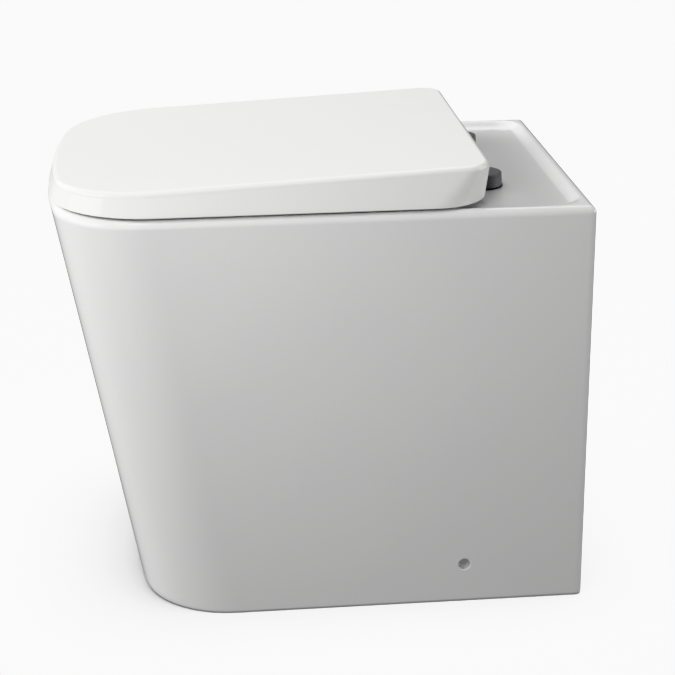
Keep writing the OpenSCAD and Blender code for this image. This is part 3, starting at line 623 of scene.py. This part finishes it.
SEAT_REAR_FROM_AXIS = 22.5
SEAT_INSET = LID_WALL + LID_DRAFT + 1.5
SEAT = np.array([LID_FOOT[HALF] - SEAT_INSET, LID_FOOT[FRONT] + SEAT_INSET,
                 AXIS_Y - SEAT_REAR_FROM_AXIS, LID_FOOT[CORNER_R] - SEAT_INSET,
                 LID_FOOT[BOW_R] - SEAT_INSET, 30])
SEAT_HOLE = inset(MOUTH, 10)
SEAT_UNDER_Z = PAN_H + 4
SEAT_TOP_Z = SEAT_UNDER_Z + 11
SEAT_OUTER_R = 4
SEAT_INNER_R = 8
SEAT_EDGE_R = 1.5
SEAT_RINGS = 12


def lid_under_z(y):
    """The height of the lid's underside."""
    return LID_UNDER_Z + LID_SLOPE * y


def knuckle_bore(side):
    """The hole for the hinge pin through the knuckles on one side."""
    start, end = LID_KNUCKLE[0] - 1, SEAT_KNUCKLE[1] + 1
    radius = PIN_R + PIN_CLEARANCE
    profile = [(0, radius), (end - start, radius)]
    return turned("pin_bore", profile, (side * start, AXIS_Y, AXIS_Z), (side, 0, 0), 48)


def lug(name, side, span, profile):
    """A hinge lug: a profile in Y and Z with softly rounded edges, across a span of X."""
    profile = np.array(profile)
    outward = profile - profile.mean(axis=0)
    outward /= np.linalg.norm(outward, axis=1)[:, None]
    # How far in from an end of the span each outline is, and how much smaller it is.
    stations = [(0, LUG_EDGE_R), (LUG_EDGE_R * 0.3, LUG_EDGE_R * 0.3), (LUG_EDGE_R, 0)]
    places = [(span[0] + inward, shrink) for inward, shrink in stations]
    places += [(span[1] - inward, shrink) for inward, shrink in reversed(stations)]
    layers = []
    for x, shrink in places:
        outline = profile - outward * shrink
        layers.append(np.column_stack([np.full(len(outline), side * x), outline]))
    return skin_of_layers(name, layers)


def lid_lug_profile():
    """From the knuckle up into the lid."""
    knuckle = arc(AXIS_Y, AXIS_Z, KNUCKLE_R, math.radians(20), math.radians(-200), 40)
    root_z = lid_under_z(AXIS_Y) + 1
    return [*knuckle.tolist(), (AXIS_Y - KNUCKLE_R - 8, root_z), (AXIS_Y + KNUCKLE_R - 1, root_z)]


def seat_lug_profile():
    """From the knuckle forward and down into the seat's rear edge."""
    knuckle = arc(AXIS_Y, AXIS_Z, KNUCKLE_R, math.radians(130), math.radians(-118), 40)
    seat_y = AXIS_Y - SEAT_REAR_FROM_AXIS
    return [*knuckle.tolist(), (seat_y - 2, SEAT_UNDER_Z + 3),
            (seat_y - 10, SEAT_UNDER_Z + 3), (seat_y - 10, SEAT_TOP_Z - 1)]


def hinged(piece, span, lug_profile):
    """Joins a hinge lug on each side and bores both for the pins."""
    combine(piece, [lug(f"lug_{side}", side, span, lug_profile) for side in (-1, 1)], "UNION")
    combine(piece, [knuckle_bore(side) for side in (-1, 1)], "DIFFERENCE")
    return shaded(piece)


def moulded_lid():
    """The wrap-over cover: a sloping top, sides that lean in, and a thin shell open at the back."""
    edge = quarter_round(LID_TOP, LID_TOP_Z, LID_EDGE_R, -LID_EDGE_R, steps=14, slope=LID_SLOPE)[::-1]
    top = spread(edge[0], ring(LID_MIDDLE, LID_TOP_Z, LID_SLOPE), 26, 1.2)[::-1]
    sides = spread(edge[-1], ring(LID_FOOT, LID_BOTTOM_Z + LID_FOOT_R), 8, 1.5)
    foot = quarter_round(LID_FOOT, LID_BOTTOM_Z, LID_FOOT_R, LID_FOOT_R, steps=5)
    shell = softened([
        ring(inset(LID_FOOT, LID_WALL - LID_FOOT_INNER_R), LID_BOTTOM_Z),
        ring(inset(LID_FOOT, LID_WALL), LID_BOTTOM_Z + LID_FOOT_INNER_R),
        ring(inset(LID_TOP, LID_WALL), LID_UNDER_Z - LID_CORNER_FILL, LID_SLOPE),
        ring(inset(LID_TOP, LID_WALL + LID_CORNER_FILL), LID_UNDER_Z, LID_SLOPE),
        ring(inset(LID_TOP, 60), LID_UNDER_Z, LID_SLOPE)], 3)
    shell.append(ring(LID_MIDDLE, LID_UNDER_Z, LID_SLOPE))
    lid = loft("lid_cover", top + edge + sides + foot + shell)
    gap_z = lid_under_z(LID_FOOT[REAR]) - 0.4 - REAR_GAP_H / 2
    gap = slot_bar("rear_gap", (REAR_GAP_W, REAR_GAP_H), LID_FOOT[REAR] - LID_WALL - 3,
                   LID_FOOT[REAR] + 1, gap_z, REAR_GAP_CORNER_R)
    combine(lid, [gap], "DIFFERENCE")
    return hinged(lid, LID_KNUCKLE, lid_lug_profile())


def moulded_seat():
    """The ring seat, rounded most on the inside of its top."""
    inner_edge = quarter_round(SEAT_HOLE, SEAT_TOP_Z, -SEAT_INNER_R, -SEAT_INNER_R, steps=10)
    outer_edge = quarter_round(SEAT, SEAT_TOP_Z, SEAT_OUTER_R, -SEAT_OUTER_R, steps=9)[::-1]
    outer_foot = quarter_round(SEAT, SEAT_UNDER_Z, SEAT_EDGE_R, SEAT_EDGE_R, steps=4)
    inner_foot = quarter_round(SEAT_HOLE, SEAT_UNDER_Z, -SEAT_EDGE_R, SEAT_EDGE_R, steps=4)[::-1]
    top = spread(inner_edge[-1], outer_edge[0], SEAT_RINGS)
    under = spread(outer_foot[-1], inner_foot[0], SEAT_RINGS)
    rings = inner_edge + top + outer_edge + outer_foot + under + inner_foot
    return hinged(loft("seat_ring", rings, closed=True), SEAT_KNUCKLE, seat_lug_profile())


# ------------------------------------------------------------------ finishes
def linear(hex_code):
    """An sRGB hex colour as linear red, green, blue and alpha."""
    values = [int(hex_code[i:i + 2], 16) / 255 for i in (0, 2, 4)]
    return [v / 12.92 if v <= 0.04045 else ((v + 0.055) / 1.055) ** 2.4 for v in values] + [1.0]


def add_node(tree, kind, settings=None, inputs=None):
    """Adds a node, sets its properties, and sets or links its inputs."""
    node = tree.nodes.new(kind)
    for name, value in (settings or {}).items():
        setattr(node, name, value)
    for name, value in (inputs or {}).items():
        if isinstance(value, bpy.types.NodeSocket):
            tree.links.new(value, node.inputs[name])
        else:
            node.inputs[name].default_value = value
    return node


def new_finish(name, inputs):
    """A material with one Principled shader; returns the material, its tree and the shader."""
    finish = bpy.data.materials.new(name)
    finish.use_nodes = True
    tree = finish.node_tree
    tree.nodes.clear()
    shader = add_node(tree, "ShaderNodeBsdfPrincipled", inputs=inputs)
    add_node(tree, "ShaderNodeOutputMaterial", inputs={"Surface": shader.outputs["BSDF"]})
    return finish, tree, shader


def noise(tree, size_mm, detail=2.0, stretch=(1, 1, 1)):
    """Noise on the piece's own coordinates, with blobs of about a size in millimetres."""
    place = add_node(tree, "ShaderNodeTexCoord")
    scaled = add_node(tree, "ShaderNodeMapping", inputs={
        "Vector": place.outputs["Object"], "Scale": stretch})
    texture = add_node(tree, "ShaderNodeTexNoise", inputs={
        "Vector": scaled.outputs["Vector"], "Scale": 1 / (size_mm * MM), "Detail": detail})
    return texture.outputs["Fac"]


def bumped(tree, shader, heights):
    """Stacks bumps on a shader: each is a height field and its depth in millimetres."""
    normal = None
    for field, depth_mm in heights:
        inputs = {"Height": field, "Distance": depth_mm * MM, "Strength": 1.0}
        if normal is not None:
            inputs["Normal"] = normal
        normal = add_node(tree, "ShaderNodeBump", inputs=inputs).outputs["Normal"]
    tree.links.new(normal, shader.inputs["Normal"])
    return normal


def vary_roughness(tree, shader, field, low, high):
    """Lets the roughness follow a field between two values."""
    mapped = add_node(tree, "ShaderNodeMapRange", inputs={
        "Value": field, "From Min": 0.3, "From Max": 0.7, "To Min": low, "To Max": high})
    tree.links.new(mapped.outputs["Result"], shader.inputs["Roughness"])


def vary_colour(tree, shader, field, first, second):
    """Lets the colour follow a field between two."""
    blend = add_node(tree, "ShaderNodeMix", {"data_type": "RGBA"}, {"Factor": field})
    blend.inputs[6].default_value = linear(first)
    blend.inputs[7].default_value = linear(second)
    tree.links.new(blend.outputs[2], shader.inputs["Base Color"])


def glazed_china():
    """Vitreous china, slip cast and fired under an opaque white glaze: a deep even white, with a clear
    glassy coat that mirrors softly and ripples a little where it flowed."""
    finish, tree, shader = new_finish("glazed_vitreous_china", {
        "Roughness": 0.32, "IOR": 1.5, "Coat Weight": 1.0, "Coat Roughness": 0.045, "Coat IOR": 1.52})
    vary_colour(tree, shader, noise(tree, 90, 1.0), "EDEDED", "F0F0EF")
    # Slow waves about a palm wide, and shallower ripples of 14 mm over them.
    waves = [(noise(tree, 70, 1.0), 0.10), (noise(tree, 14, 1.0), 0.012)]
    tree.links.new(bumped(tree, shader, waves), shader.inputs["Coat Normal"])
    return finish


def moulded_thermoset():
    """Urea thermoset, pressed in a polished steel mould: a bright, slightly warmer white with a plastic
    gloss a little softer than the glaze's."""
    finish, tree, shader = new_finish("pressed_urea_thermoset", {
        "IOR": 1.54, "Coat Weight": 0.25, "Coat Roughness": 0.06})
    vary_colour(tree, shader, noise(tree, 60, 1.0), "F3F3F2", "F5F5F4")
    vary_roughness(tree, shader, noise(tree, 25, 1.0), 0.135, 0.155)
    # The hand-polished mould leaves slow waves, and 5 mm ripples that only the gloss gives away.
    bumped(tree, shader, [(noise(tree, 60, 1.0), 0.015), (noise(tree, 5, 1.0), 0.001)])
    return finish


def coated_zinc():
    """Zinc casting under a dark grey powder coat: satin, with the coat's fine orange peel."""
    finish, tree, shader = new_finish("powder_coated_zinc", {"IOR": 1.5})
    vary_colour(tree, shader, noise(tree, 6, 3.0), "5E5F61", "666769")
    vary_roughness(tree, shader, noise(tree, 2), 0.34, 0.46)
    # The dimples of orange peel are just under a millimetre wide.
    bumped(tree, shader, [(noise(tree, 0.8), 0.02)])
    return finish


def moulded_nylon(name, first, second, roughness):
    """Nylon, injection moulded on a spark-eroded face: matt, with a fine grain."""
    finish, tree, shader = new_finish(name, {"IOR": 1.53})
    vary_colour(tree, shader, noise(tree, 8), first, second)
    vary_roughness(tree, shader, noise(tree, 3), roughness - 0.05, roughness + 0.05)
    # A spark-eroded grain is about 0.1 mm wide, and is drawn at 0.5 mm so that it shows.
    bumped(tree, shader, [(noise(tree, 0.5), 0.015)])
    return finish


def moulded_rubber(name, first, second):
    """Rubber, compression moulded: dull, with a trace of bloom in its colour."""
    finish, tree, shader = new_finish(name, {"IOR": 1.52})
    vary_colour(tree, shader, noise(tree, 10, 3.0), first, second)
    vary_roughness(tree, shader, noise(tree, 4), 0.55, 0.72)
    # The mould's blasted face leaves a grain of about 0.2 mm, drawn at 0.7 mm so that it shows.
    bumped(tree, shader, [(noise(tree, 0.7, 3.0), 0.03)])
    return finish


def turned_metal(name, first, second, roughness):
    """Metal turned or ground on a lathe: fine level marks, which run round an upright stud or nut, and
    a soft sheen."""
    finish, tree, shader = new_finish(name, {"Metallic": 1.0})
    # Lathe marks are about 0.1 mm apart, and are drawn at 1.2 mm so that they show.
    marks = noise(tree, 1.2, stretch=(0.15, 0.15, 1))
    vary_colour(tree, shader, noise(tree, 12), first, second)
    vary_roughness(tree, shader, marks, roughness - 0.06, roughness + 0.08)
    bumped(tree, shader, [(marks, 0.008)])
    return finish


FINISHES = {
    "glazed_china": glazed_china(),
    "moulded_seat": moulded_thermoset(),
    "grey_casting": coated_zinc(),
    "grey_button": moulded_nylon("dark_grey_nylon", "4A4B4D", "515254", 0.5),
    "damper_nylon": moulded_nylon("natural_nylon", "D8D5CB", "E0DDD3", 0.42),
    "black_rubber": moulded_rubber("black_epdm_rubber", "1B1B1C", "242425"),
    "soft_buffer": moulded_rubber("white_tpe_rubber", "D9D9D5", "E2E2DE"),
    "stainless_steel": turned_metal("ground_stainless_steel", "B4B5B7", "C2C3C5", 0.3),
    "nut_brass": turned_metal("turned_brass", "B08D4A", "BC9953", 0.28),
}


def finish_piece(piece, slot):
    """Gives a piece the finish of one of the record's material slots."""
    piece.data.materials.clear()
    piece.data.materials.append(FINISHES[slot])


def place_piece(piece, body, slot, *nodes):
    """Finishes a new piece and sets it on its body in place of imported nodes."""
    finish_piece(piece, slot)
    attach(piece, body)
    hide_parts(*nodes)


# The sections that the pan is cast in, which fire into one glazed piece.
CHINA_SECTIONS = ["pan_rim", "pan_front", "pan_side_left", "pan_side_right",
                  "bowl", "trapway", "outlet_spigot", "flush_horn"]
place_piece(glazed_pan(), "pan", "glazed_china", *CHINA_SECTIONS)
place_piece(moulded_lid(), "lid", "moulded_seat", "lid")
place_piece(moulded_seat(), "seat", "moulded_seat", "seat")
replaced = {"lid", "seat", *CHINA_SECTIONS}
for part in frame["record"]["subparts"]:
    if part["node"] not in replaced:
        finish_piece(frame["nodes"][part["node"]], part["material_slot"])


# ------------------------------------------------------------------ studio
# The camera's place, the way it looks as azimuth, elevation and roll in degrees, and its lens.
CAMERA_PLACE = (1668.78, -116.91, 837.14)
CAMERA_TURN = (84.98, 20.346, -0.637)
LENS = 91.73
SENSOR_W = 36
CLIP_END_M = 20
# Name, place, what it points at and size in metres, power in watts, and whether the gloss mirrors it.
SOFTBOXES = [
    ("front_left_softbox", (-1.4, -1.8, 1.2), (0, 0, 0.3), (1.4, 1.4), 78, True),
    ("front_softbox", (0.3, -2.2, 1.2), (0, 0, 0.3), (1.8, 1.4), 36, True),
    ("left_softbox", (-1.2, -0.2, 1.9), (0, 0, 0.2), (1.8, 1.8), 13, True),
    ("rear_softbox", (0.2, 1.6, 1.6), (0, 0, 0.35), (1.2, 0.9), 4, True),
    ("low_rear_softbox", (0.3, 2.0, 0.75), (0, 0, 0.38), (1.6, 0.5), 9, True),
    ("edge_softbox", (0.75, -0.25, 0.62), (0.18, -0.1, 0.35), (0.3, 0.3), 1.9, False),
    ("streak_softbox", (0.6, -0.55, 2.1), (0.2, -0.55, 0.4), (0.7, 0.4), 5, True),
]
# The floor's own light: its strength, and how many degrees of sky it fills.
FLOOR_LIGHT = 5.9
FLOOR_LIGHT_SPREAD = 26
FLOOR_HALF = 6000
FLOOR_DROP = 0.4
# How much light comes from all round, and how bright the bare backdrop looks past the floor.
AIR_LIGHT = 0.26
BACKDROP = 1.9


def view_axes(azimuth, elevation, roll):
    """The camera's right, up and back directions; azimuth 0 looks along +Y."""
    az, el, turn = (math.radians(v) for v in (azimuth, elevation, roll))
    back = Vector((math.sin(az) * math.cos(el), -math.cos(az) * math.cos(el), math.sin(el)))
    right = Vector((math.cos(az), math.sin(az), 0))
    up = back.cross(right)
    turned_right = right * math.cos(turn) + up * math.sin(turn)
    turned_up = up * math.cos(turn) - right * math.sin(turn)
    return turned_right, turned_up, back


def set_camera():
    """The photograph's view."""
    view = bpy.data.cameras.new("photo_view")
    view.sensor_width = SENSOR_W
    view.lens = LENS
    view.clip_end = CLIP_END_M
    camera = bpy.data.objects.new("photo_view", view)
    bpy.context.scene.collection.objects.link(camera)
    facing = Matrix(view_axes(*CAMERA_TURN)).transposed().to_4x4()
    camera.matrix_world = Matrix.Translation(Vector(CAMERA_PLACE) * MM) @ facing
    bpy.context.scene.camera = camera


def place_lamp(lamp, place, target, floor, floor_state):
    """Puts a lamp in the scene; floor_state says if it lights the floor alone or all but the floor."""
    lamp_object = bpy.data.objects.new(lamp.name, lamp)
    lamp_object.location = place
    lamp_object.rotation_euler = (Vector(target) - Vector(place)).to_track_quat("-Z", "Y").to_euler()
    lamp_object.visible_camera = False
    bpy.context.scene.collection.objects.link(lamp_object)
    receivers = bpy.data.collections.new(lamp.name + "_lights")
    receivers.objects.link(floor)
    receivers.collection_objects[0].light_linking.link_state = floor_state
    lamp_object.light_linking.receiver_collection = receivers
    return lamp_object


def softbox(name, place, target, size, power, mirrored, floor):
    """A rectangular soft light on the object; the gloss shows it only where it is mirrored."""
    lamp = bpy.data.lights.new(name, "AREA")
    lamp.shape = "RECTANGLE"
    lamp.size, lamp.size_y = size
    lamp.energy = power
    place_lamp(lamp, place, target, floor, "EXCLUDE").visible_glossy = mirrored


def floor_wash(floor):
    """An even light from straight above on the floor, broad enough to leave only a soft shadow."""
    lamp = bpy.data.lights.new("floor_wash", "SUN")
    lamp.energy = FLOOR_LIGHT
    lamp.angle = math.radians(FLOOR_LIGHT_SPREAD)
    place_lamp(lamp, (0, 0, 3), (0, 0, 0), floor, "INCLUDE")


def studio_floor():
    """A matt pale floor that neither lights the object nor shows in its gloss."""
    corners = [(x * FLOOR_HALF, y * FLOOR_HALF, 0) for x, y in ((-1, -1), (1, -1), (1, 1), (-1, 1))]
    floor = mesh_object("studio_floor", corners, [(0, 1, 2, 3)])
    floor.location.z = -FLOOR_DROP * MM
    finish = new_finish("pale_studio_floor", {"Roughness": 0.9, "Base Color": linear("F4F4F4")})[0]
    floor.data.materials.append(finish)
    floor.visible_diffuse = False
    floor.visible_glossy = False
    return floor


def studio_air():
    """An even white all round, which the camera sees brighter than the object does."""
    world = bpy.data.worlds.new("studio_air")
    world.use_nodes = True
    air = world.node_tree
    ray = add_node(air, "ShaderNodeLightPath")
    strength = add_node(air, "ShaderNodeMapRange", inputs={
        "Value": ray.outputs["Is Camera Ray"], "To Min": AIR_LIGHT, "To Max": BACKDROP})
    backdrop = air.nodes["Background"]
    backdrop.inputs["Color"].default_value = linear("FFFFFF")
    air.links.new(strength.outputs["Result"], backdrop.inputs["Strength"])
    return world


def build_studio():
    """The floor, the lights and the way the picture is developed."""
    floor = studio_floor()
    floor_wash(floor)
    for softbox_values in SOFTBOXES:
        softbox(*softbox_values, floor)
    scene = bpy.context.scene
    scene.world = studio_air()
    scene.view_settings.view_transform = "Khronos PBR Neutral"
    scene.cycles.use_denoising = True


set_camera()
build_studio()
